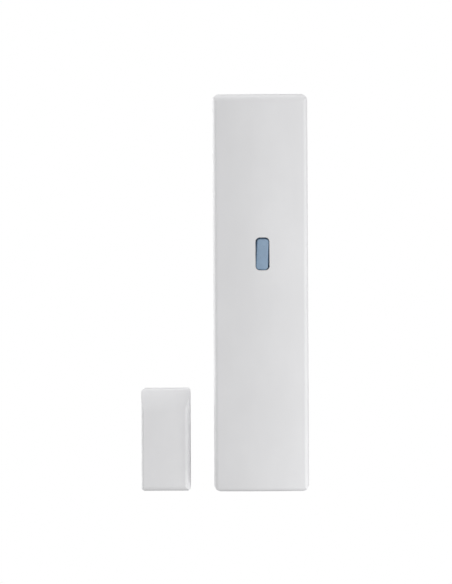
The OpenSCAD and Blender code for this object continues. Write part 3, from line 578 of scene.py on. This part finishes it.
def make_button():
    """The button's loose cap with rolled edges and a faint crown, on its flange and stem."""
    cap_w, cap_h, corner, smallest_corner = 3.3 * MM, 8.5 * MM, 0.9 * MM, 0.15 * MM
    roll, roll_steps, crown = 0.25 * MM, 6, 0.04 * MM
    skew, drop = math.radians(2.5), 0.12 * MM
    flange_lap, flange_front, flange_back = 0.75 * MM, 1.5 * MM, 2.65 * MM
    stem_r, stem_tip_r, stem_taper, tip_chamfer = 1.5 * MM, 1.2 * MM, 1.2 * MM, 0.2 * MM
    overlap = 0.3 * MM
    low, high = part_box("status_button")
    x = (low.x + high.x) / 2
    z = high.z - flange_lap - cap_h / 2
    cap_z = z - drop

    def cap_ring(inset, depth):
        """The turned cap's outline, inset, at a depth behind the button's front."""
        radius = max(corner - inset, smallest_corner)
        outline = rounded(x, cap_z, cap_w - 2 * inset, cap_h - 2 * inset, radius)
        return [(px, low.y + depth, pz) for px, pz in turned(outline, (x, cap_z), skew)]

    def flange_ring(depth):
        """The flange's outline at a depth behind the button's front."""
        outline = rounded(x, z, cap_w + 2 * flange_lap, cap_h + 2 * flange_lap, corner)
        return [(px, low.y + depth, pz) for px, pz in outline]

    rings = [flange_ring(flange_back), flange_ring(flange_front), cap_ring(0, flange_front)]
    for i in range(roll_steps + 1):
        turn = math.pi / 2 * i / roll_steps
        rings.append(cap_ring(roll * (1 - math.cos(turn)), crown + roll * (1 - math.sin(turn))))
    rings += [cap_ring(0.8 * MM, crown / 4), cap_ring(1.3 * MM, 0)]
    bm = bmesh.new()
    loft(bm, rings)
    tip = high.y
    stem = [(stem_r, low.y + flange_back - overlap), (stem_r, tip - stem_taper),
            (stem_tip_r, tip - tip_chamfer), (stem_tip_r - tip_chamfer, tip)]
    stem_z = low.z + stem_r
    loft(bm, [[(px, y, pz) for px, pz in disc(x, stem_z, r, 32)] for r, y in stem])
    piece = add_piece("button_cap", bm, "button", "button_blue", smooth=True)
    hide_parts("status_button")


def wire(bm, path, radius):
    """Round wire along a path, with square-cut ends."""
    sides = 12
    rings, up = [], None
    for i, point in enumerate(path):
        ahead = (path[min(i + 1, len(path) - 1)] - path[max(i - 1, 0)]).normalized()
        up = up or ahead.orthogonal()
        up = (up - ahead * up.dot(ahead)).normalized()
        side = ahead.cross(up)
        turns = [2 * math.pi * k / sides for k in range(sides)]
        rings.append([point + radius * (math.cos(t) * up + math.sin(t) * side) for t in turns])
    loft(bm, rings)


def make_antenna():
    """The antenna's coil, wound along X, with both legs straight down to the board."""
    wire_r, turns, steps = 0.35 * MM, 8.5, 30
    low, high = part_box("antenna_coil")
    coil_r = (high.z - low.z) / 2 - wire_r
    axis_y, axis_z = low.y + wire_r + coil_r, (low.z + high.z) / 2
    start, end = low.x + wire_r, high.x - wire_r
    foot_y, knee_y = high.y, (high.y + axis_y) / 2
    path = [Vector((start, y, axis_z + coil_r)) for y in (foot_y, knee_y)]
    count = round(turns * steps)
    for i in range(count + 1):
        x = start + (end - start) * i / count
        angle = 2 * math.pi * i / steps
        path.append(Vector((x, axis_y - coil_r * math.sin(angle), axis_z + coil_r * math.cos(angle))))
    path += [Vector((end, y, axis_z - coil_r)) for y in (knee_y, foot_y)]
    bm = bmesh.new()
    wire(bm, path, wire_r)
    piece = add_piece("antenna_winding", bm, "base_unit", "copper_wire", smooth=True)
    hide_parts("antenna_coil")


def make_contact_spring():
    """The conical spring at the battery's negative end; its first and last turns lie flat for a way."""
    wire_r, turns, tip_r, steps = 0.35 * MM, 2.75, 2.6 * MM, 36
    flat_share = 0.12
    low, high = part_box("contact_spring")
    foot_r = high.x - wire_r
    travel = high.z - low.z - 2 * wire_r
    axis_y = middle(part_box("battery_can")).y
    count = round(turns * steps)
    path = []
    for i in range(count + 1):
        part = i / count
        angle = 2 * math.pi * turns * part
        rise = min(1, max(0, (part - flat_share) / (1 - 2 * flat_share)))
        r = foot_r + (tip_r - foot_r) * part
        z = low.z + wire_r + travel * rise
        path.append(Vector((r * math.cos(angle), axis_y + r * math.sin(angle), z)))
    bm = bmesh.new()
    wire(bm, path, wire_r)
    piece = add_piece("negative_spring", bm, "base_unit", "steel", smooth=True)
    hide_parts("contact_spring")


# ---------------------------------------------------------------- circuit board detail

BOARD_LOW, BOARD_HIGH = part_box("circuit_board")

# Depths of the layers on the board: its bare face, how deep they start, and where each one ends
FACE = BOARD_LOW.y
BURIED = FACE + 0.02 * MM
COPPER = FACE - 0.04 * MM
INK = FACE - 0.055 * MM
PAD_TOP = FACE - 0.06 * MM

TRACK_W = 0.3 * MM
POWER_W = 0.45 * MM
LEG_TRACK_W = 0.22 * MM
VIA_R = 0.32 * MM
SMALL_PAD_R = 0.5 * MM


def in_board(point):
    """True for a corner that lies in the board's holes, behind its face."""
    return point.y > FACE - 0.1 * MM


# Places of what is soldered to the board, taken from the CAD nodes
CHIPS = [(middle(box), box) for box in solids("chip_parts")]
LEGS = [middle(box) for box in solids("chip_legs")]
SCREWS = [middle(box) for box in solids("board_screws")]
CONTROLLER = middle(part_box("microcontroller"))
REED = middle(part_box("reed_glass"))
PLUS_TAB = middle(box_where("contact_positive", lambda p: p.z < BOARD_HIGH.z))
MINUS_TAB = middle(box_where("contact_negative", lambda p: p.z < BOARD_HIGH.z))
LEFT_FOOT = middle(box_where("antenna_coil", lambda p: in_board(p) and p.x < 0))
RIGHT_FOOT = middle(box_where("antenna_coil", lambda p: in_board(p) and p.x > 0))
REED_TOP = middle(box_where("reed_leads", lambda p: in_board(p) and p.z > REED.z))
REED_BOTTOM = middle(box_where("reed_leads", lambda p: in_board(p) and p.z < REED.z))
TABS = [PLUS_TAB, MINUS_TAB]
FEET = [LEFT_FOOT, RIGHT_FOOT]

# Top of the hole in the board through which the lower fixing screw is reached
ACCESS_TOP = -26 * MM


def sideways(leg):
    """True for a leg of the controller that points left or right."""
    away = leg - CONTROLLER
    return abs(away.x) > abs(away.z)


def make_pads():
    """Tinned pads under the chips' ends and legs, beside the tabs and round the holes."""
    lap, leg_pad_w, leg_pad_l = 0.2 * MM, 0.45 * MM, 1.3 * MM
    screw_pad_r, screw_hole_r, foot_pad_r = 2.35 * MM, 1.2 * MM, 0.75 * MM
    bm = bmesh.new()
    for low, high in solids("chip_ends"):
        spot = middle((low, high))
        size = (high.x - low.x + 2 * lap, high.z - low.z + lap)
        prism(bm, rectangle(spot.x, spot.z, *size), BURIED, PAD_TOP)
    for leg in LEGS:
        size = (leg_pad_l, leg_pad_w) if sideways(leg) else (leg_pad_w, leg_pad_l)
        prism(bm, rectangle(leg.x, leg.z, *size), BURIED, PAD_TOP)
    for screw in SCREWS:
        rim, hole = (disc(screw.x, screw.z, r, 40) for r in (screw_pad_r, screw_hole_r))
        ring_plate(bm, rim, hole, BURIED, PAD_TOP)
    tab_pad, tab_slit = (3 * MM, 1.6 * MM, 0.5 * MM), (2.1 * MM, 0.55 * MM, 0.05 * MM)
    for tab in TABS:
        rim, hole = (rounded(tab.x, tab.z, *size) for size in (tab_pad, tab_slit))
        ring_plate(bm, rim, hole, BURIED, PAD_TOP)
    for foot in FEET:
        prism(bm, disc(foot.x, foot.z, foot_pad_r), BURIED, PAD_TOP)
    # Two marks at opposite corners, by which the machine that places the components finds the board
    from_edge = 1.4 * MM
    for x, z in ((BOARD_LOW.x + from_edge, BOARD_HIGH.z - from_edge),
                 (BOARD_HIGH.x - from_edge, BOARD_LOW.z + from_edge)):
        prism(bm, disc(x, z, SMALL_PAD_R), BURIED, PAD_TOP)
    add_piece("board_pads", bm, "base_unit", "solder")


def track(*points, width=TRACK_W, via=False):
    """One track: its width, its points, and whether it ends in a via."""
    return width, points, via


def chip_tracks():
    """Links between chips that stand side by side or above each other."""
    in_line, next_column, next_row = 0.1 * MM, 3.3 * MM, 2.6 * MM
    pad_gap, off_middle, pad_reach = 0.5 * MM, 0.85 * MM, 0.7 * MM
    tracks = []
    for a, (_, a_high) in CHIPS:
        for b, (b_low, _) in CHIPS:
            if abs(a.z - b.z) < in_line and 0 < b.x - a.x < next_column:
                tracks.append(track((a_high.x + pad_gap, a.z), (b_low.x - pad_gap, b.z)))
            if abs(a.x - b.x) < in_line and 0 < b.z - a.z < next_row:
                side = 1 if round(a.z / MM) % 2 else -1
                x = a.x + side * off_middle
                tracks.append(track((x, a.z + pad_reach), (x, b.z - pad_reach)))
    return tracks


def controller_tracks():
    """Tracks from the controller's legs: right ones run under the shield, others fan out to vias."""
    left_legs, pad_reach = -3.5 * MM, 0.6 * MM
    right_reach, up_reach, down_reach, stagger = 1.1 * MM, 0.55 * MM, 0.5 * MM, 0.45 * MM
    tracks = []
    for i, leg in enumerate(LEGS):
        away = leg - CONTROLLER
        if away.x < left_legs:
            continue
        start = Vector((leg.x, leg.z))
        if sideways(leg):
            out, reach = Vector((1, 0)), right_reach
        elif away.z > 0:
            out, reach = Vector((0, 1)), up_reach
        else:
            out, reach = Vector((0, -1)), down_reach + stagger * (i % 3)
        near, far = start + pad_reach * out, start + (pad_reach + reach) * out
        tracks.append(track(tuple(near), tuple(far), width=LEG_TRACK_W, via=not sideways(leg)))
    return tracks


def power_tracks():
    """Wide tracks down both edges of the board, from the battery's two tabs."""
    from_edge, tab_reach, cut = 0.42 * MM, 1.5 * MM, 1 * MM
    left_end, above_block = 2.2 * MM, 0.2 * MM
    right, left = BOARD_HIGH.x - from_edge, BOARD_LOW.x + from_edge
    block_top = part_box("terminal_block")[1].z + above_block
    plus_z, minus_z = PLUS_TAB.z, MINUS_TAB.z
    plus = track((PLUS_TAB.x + tab_reach, plus_z), (right - cut, plus_z), (right, plus_z - cut),
                 (right, block_top + cut), (right - cut, block_top), width=POWER_W)
    minus = track((MINUS_TAB.x - tab_reach, minus_z), (left + cut, minus_z), (left, minus_z - cut),
                  (left, left_end), width=POWER_W)
    return [plus, minus]


def signal_tracks():
    """Tracks of the reed switch, antenna, crystal and tamper switch, and a fan over the access hole."""
    left = BOARD_LOW.x + 0.42 * MM
    header, crystal, switch = (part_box(node) for node in ("jumper_header", "crystal", "tamper_switch"))
    header_z, cut = header[1].z - 1.3 * MM, 1.1 * MM
    tracks = [
        track((REED_TOP.x - 0.6 * MM, REED_TOP.z + 0.3 * MM), (left, REED_TOP.z + 0.8 * MM),
              (left, header_z - cut), (left + cut, header_z), (header[0].x, header_z)),
        track((LEFT_FOOT.x, LEFT_FOOT.z + 0.7 * MM), (LEFT_FOOT.x, LEFT_FOOT.z + 1.6 * MM),
              (LEFT_FOOT.x + 0.3 * MM, LEFT_FOOT.z + 1.9 * MM)),
    ]
    for i in range(4):
        x, z = crystal[0].x + (1.6 + 0.9 * i) * MM, crystal[0].z
        tracks.append(track((x, z), (x, z - (1.6 + 0.35 * i) * MM), via=True))
    fan_z = ACCESS_TOP + 1.2 * MM
    for i in range(5):
        x = (-2.2 + 1.05 * i) * MM
        tracks.append(track((x, fan_z - 0.3 * MM * abs(i - 2)), (x, fan_z + 1.7 * MM),
                            (x - 0.5 * MM, fan_z + 2.2 * MM), via=True))
    for i in range(3):
        x, z = switch[0].x + (1.2 + 1.6 * i) * MM, switch[1].z
        tracks.append(track((x, z), (x, z + (0.9 + 0.4 * i) * MM), via=True))
    return tracks


TRACKS = chip_tracks() + controller_tracks() + power_tracks() + signal_tracks()


def make_tracks():
    """Copper tracks under the solder mask."""
    bm = bmesh.new()
    for width, points, _ in TRACKS:
        prism(bm, ribbon(points, width), BURIED, COPPER)
    add_piece("board_tracks", bm, "base_unit", "board_green", "track_green")


def make_vias():
    """Small tinned rings at the free ends of the tracks."""
    bm = bmesh.new()
    for _, points, via in TRACKS:
        if via:
            rim, hole = (disc(*points[-1], r, 16) for r in (VIA_R, VIA_R / 2))
            ring_plate(bm, rim, hole, BURIED, PAD_TOP)
    add_piece("board_vias", bm, "base_unit", "solder")


def make_silkscreen():
    """Printed outlines of the components, pin marks and the battery's two polarity signs."""
    line, gap, corner, round_corner = 0.16 * MM, 0.45 * MM, 0.2 * MM, 1.2 * MM
    bm = bmesh.new()

    def outline_of(node, radius):
        """Prints a line round a component."""
        low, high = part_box(node)
        spot, size = (low + high) / 2, high - low
        width, height = size.x + 2 * gap, size.z + 2 * gap
        outer = rounded(spot.x, spot.z, width, height, radius)
        inner = rounded(spot.x, spot.z, width - 2 * line, height - 2 * line, radius / 2)
        ring_plate(bm, outer, inner, BURIED, INK)

    def bar(x, z, width, height):
        """Prints a bar round a middle."""
        prism(bm, rectangle(x, z, width, height), BURIED, INK)

    for node in ("tact_switch", "jumper_header", "status_led"):
        outline_of(node, corner)
    outline_of("capacitor_foot", round_corner)
    beside_chip, chip_bar_w, chip_bar_h = 0.78 * MM, 0.9 * MM, 0.12 * MM
    for spot, _ in CHIPS:
        for side in (-1, 1):
            bar(spot.x, spot.z + side * beside_chip, chip_bar_w, chip_bar_h)
    first_leg_off, first_leg_r = 0.55 * MM, 0.22 * MM
    chip_low, chip_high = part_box("microcontroller")
    first_leg = disc(chip_low.x - first_leg_off, chip_high.z + first_leg_off, first_leg_r)
    prism(bm, first_leg, BURIED, INK)
    sign_z, sign_out = BOARD_HIGH.z - 0.9 * MM, 1.5
    sign_w, sign_line = 1.1 * MM, 0.24 * MM
    for tab in TABS:
        bar(tab.x * sign_out, sign_z, sign_w, sign_line)
    arm = (sign_w - sign_line) / 2
    for side in (-1, 1):
        bar(PLUS_TAB.x * sign_out, sign_z + side * (sign_line + arm) / 2, sign_line, arm)
    can = middle(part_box("capacitor_can"))
    bar(can.x + 3.6 * MM, can.z + 1.6 * MM, 0.6 * MM, line)
    add_piece("board_print", bm, "base_unit", "lens_white", "silkscreen")


def make_solder_joints():
    """Solder cones on the reed switch's and the antenna's feet, and solder along the tabs."""
    reed_cone, antenna_cone = (0.7 * MM, 0.45 * MM), (0.68 * MM, 0.5 * MM)
    drop_r, drop_h, pitch = 0.55 * MM, 0.42 * MM, 0.5 * MM
    bm = bmesh.new()
    for foot in (REED_TOP, REED_BOTTOM):
        dome(bm, foot.x, foot.z, *reed_cone, PAD_TOP)
    for foot in FEET:
        dome(bm, foot.x, foot.z, *antenna_cone, PAD_TOP)
    for tab in TABS:
        for i in range(4):
            dome(bm, tab.x + (i - 1.5) * pitch, tab.z, drop_r + 0.04 * MM * (i % 2), drop_h, PAD_TOP)
    add_piece("solder_joints", bm, "base_unit", "solder", smooth=True)


def make_switch_legs():
    """Four legs on each push switch, bent down to the board and out along it."""
    thick, wide, out = 0.2 * MM, 0.7 * MM, 0.9 * MM
    root, bend, knee, top = 0.3 * MM, 0.15 * MM, 0.5 * MM, 1.1 * MM
    from_corner = 0.8 * MM
    outer = [(-root, top), (knee - bend, top), (knee, top - bend), (knee, thick), (out, thick)]
    inner = [(out, 0), (knee - thick, 0), (knee - thick, top - thick), (-root, top - thick)]
    bm = bmesh.new()
    for node in ("tact_switch", "tamper_switch"):
        low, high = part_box(node)
        for side, edge in ((-1, low.x), (1, high.x)):
            profile = [(edge + side * x, FACE - lift) for x, lift in outer + inner]
            for z in (low.z + from_corner, high.z - from_corner):
                loft(bm, [[(x, y, z + w) for x, y in profile] for w in (-wide / 2, wide / 2)])
    add_piece("switch_legs", bm, "base_unit", "steel")


# ---------------------------------------------------------------- battery print and moulding marks

# Thickness of the cover's front, and the radius of the crown inside it
COVER_WALL = 1.6 * MM
CROWN_R = 88.4 * MM


def wrapped_patch(bm, radius, axis_y, angles, heights):
    """A thin patch on the battery's round side; angle 0 faces the front and grows towards +X."""
    thick, step = 0.03 * MM, math.radians(6)
    start, span = angles[0], angles[1] - angles[0]
    low, high = heights
    steps = max(2, round(span / step))
    rings = []
    for i in range(steps + 1):
        angle = start + span * i / steps
        corners = [(radius - thick, low), (radius + thick, low),
                   (radius + thick, high), (radius - thick, high)]
        rings.append([(r * math.sin(angle), axis_y - r * math.cos(angle), z) for r, z in corners])
    loft(bm, rings, capped=span < 2 * math.pi)


def make_battery_print():
    """Bands round the battery's sleeve, and a plus and a minus sign."""
    low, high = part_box("battery_sleeve")
    radius, axis_y = (high.x - low.x) / 2, (low.y + high.y) / 2
    arm, half = 1.6 * MM, 0.4 * MM
    plus_z, minus_z = high.z - 3.3 * MM, low.z + 3.2 * MM
    bands = [(high.z - 9.5 * MM, high.z - 6.5 * MM), (high.z - 6 * MM, high.z - 5.6 * MM),
             (low.z + 5.6 * MM, low.z + 6 * MM)]
    # Each bar of the two signs: its reach along X, as lengths round the sleeve, and along Z
    signs = [((-half, half), (plus_z - arm, plus_z + arm)),
             ((-arm, -half), (plus_z - half, plus_z + half)),
             ((half, arm), (plus_z - half, plus_z + half)),
             ((-arm, arm), (minus_z - half, minus_z + half))]
    bm = bmesh.new()
    for heights in bands:
        wrapped_patch(bm, radius, axis_y, (-math.pi, math.pi), heights)
    for reach, heights in signs:
        wrapped_patch(bm, radius, axis_y, [x / radius for x in reach], heights)
    add_piece("battery_print", bm, "base_unit", "sleeve_blue", "sleeve_print")


def make_ejector_marks():
    """Round marks that the mould's pins leave inside the cover."""
    pin_r, proud, sunk, groove, middle_r = 1.6 * MM, 0.12 * MM, 0.4 * MM, 0.18 * MM, 0.3 * MM
    dished = proud / 3
    columns = (-8.2 * MM, 8.2 * MM)
    rows = (-42 * MM, -28 * MM, -2 * MM, 22 * MM, 40 * MM)
    low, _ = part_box("front_cover")
    bm = bmesh.new()
    for x in columns:
        face = low.y + COVER_WALL + CROWN_R - math.sqrt(CROWN_R ** 2 - x ** 2)
        profile = [(pin_r, face - sunk), (pin_r, face + proud), (pin_r - groove, face + proud),
                   (pin_r - groove, face + dished), (middle_r, face + dished)]
        for z in rows:
            loft(bm, [[(px, y, pz) for px, pz in disc(x, z, r, 36)] for r, y in profile])
    add_piece("cover_pin_marks", bm, "cover", "cover_white")


make_button()
make_antenna()
make_contact_spring()
make_pads()
make_tracks()
make_vias()
make_silkscreen()
make_solder_joints()
make_switch_legs()
make_battery_print()
make_ejector_marks()


# ---------------------------------------------------------------- camera, light and floor

# The camera's lens and sensor in millimetres, the height it sees at the object's front, the point
# it looks at, and its lean
LENS = 270
SENSOR = 36
VIEW_HEIGHT = 160.1 * MM
AIM = Vector((-9.55 * MM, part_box("front_cover")[0].y, 0.2 * MM))
ROLL = math.radians(0.3)

# Strength of the even light from all round, and its look to the camera
EVEN_LIGHT = 0.235
WHITE = (1, 1, 1, 1)

# The studio's square lights: name, place, side length in metres, and power in watts
LIGHTS = [
    ("key_light", (0.4, -0.46, -0.22), 0.3, 2.2),
    ("fill_light", (0.05, -0.7, 0.1), 0.4, 0.6),
    ("right_light", (0.6, -0.1, -0.1), 0.4, 0.6),
    ("left_light", (-0.6, 0.12, 0.05), 0.4, 2.4),
    ("top_light", (-0.15, -0.22, 0.6), 0.4, 0.8),
    ("edge_light", (0, 0.07, 0.6), 0.4, 1.2),
    ("back_light", (-0.4, 0.5, 0.3), 0.5, 2.0),
]

# One more light, wide and behind the object, which shines straight down
FLOOR_LIGHT = ("floor_light", (0, 0.8, -0.1), 1.4, 1.8)
STRAIGHT_DOWN = (0, 0, 0)

# The floor's height and radius, and how much it glows by itself
FLOOR_Z = -0.5
FLOOR_R = 1.3
FLOOR_GLOW = 0.45


def make_camera():
    """Long lens straight in front of the object, as far off as it takes to see the view's height."""
    data = bpy.data.cameras.new("camera")
    data.lens = LENS
    data.sensor_width = SENSOR
    camera = bpy.data.objects.new("camera", data)
    camera.location = AIM - Vector((0, VIEW_HEIGHT * LENS / SENSOR, 0))
    camera.rotation_euler = (math.pi / 2, ROLL, 0)
    bpy.context.scene.collection.objects.link(camera)
    bpy.context.scene.camera = camera


def softbox(name, place, size, power):
    """A square studio light that faces the object."""
    data = bpy.data.lights.new(name, "AREA")
    data.size = size
    data.energy = power
    light = bpy.data.objects.new(name, data)
    light.location = place
    light.rotation_euler = (-Vector(place)).to_track_quat("-Z", "Y").to_euler()
    light.visible_camera = False
    bpy.context.scene.collection.objects.link(light)
    return light


def studio_world():
    """White to the camera, and a softer even light on the object."""
    world = bpy.data.worlds.new("studio")
    world.use_nodes = True
    tree = world.node_tree
    even = tree.nodes["Background"]
    even.inputs["Color"].default_value = WHITE
    even.inputs["Strength"].default_value = EVEN_LIGHT
    white = tree.nodes.new("ShaderNodeBackground")
    white.inputs["Color"].default_value = WHITE
    path = tree.nodes.new("ShaderNodeLightPath")
    mix = tree.nodes.new("ShaderNodeMixShader")
    tree.links.new(path.outputs["Is Camera Ray"], mix.inputs["Fac"])
    tree.links.new(even.outputs[0], mix.inputs[1])
    tree.links.new(white.outputs[0], mix.inputs[2])
    tree.links.new(mix.outputs[0], tree.nodes["World Output"].inputs["Surface"])
    bpy.context.scene.world = world


def make_floor():
    """Plain pale round floor, some way below the object, which it doesn't light."""
    bm = bmesh.new()
    bmesh.ops.create_circle(bm, cap_ends=True, segments=96, radius=FLOOR_R)
    mesh = bpy.data.meshes.new("floor")
    bm.to_mesh(mesh)
    bm.free()
    floor = bpy.data.objects.new("floor", mesh)
    floor.location = (0, 0, FLOOR_Z)
    floor.visible_diffuse = False
    floor.visible_glossy = False
    s = Shader("floor", (0.85, 0.85, 0.86), 0.6, Emission_Color=WHITE, Emission_Strength=FLOOR_GLOW)
    s.paint(s.blend(s.noise(0.3, 3), (0.84, 0.84, 0.85), (0.87, 0.87, 0.88)))
    mesh.materials.append(s.material)
    bpy.context.scene.collection.objects.link(floor)


make_camera()
for light in LIGHTS:
    softbox(*light)
softbox(*FLOOR_LIGHT).rotation_euler = STRAIGHT_DOWN
studio_world()
make_floor()
bpy.context.scene.view_settings.view_transform = "Standard"
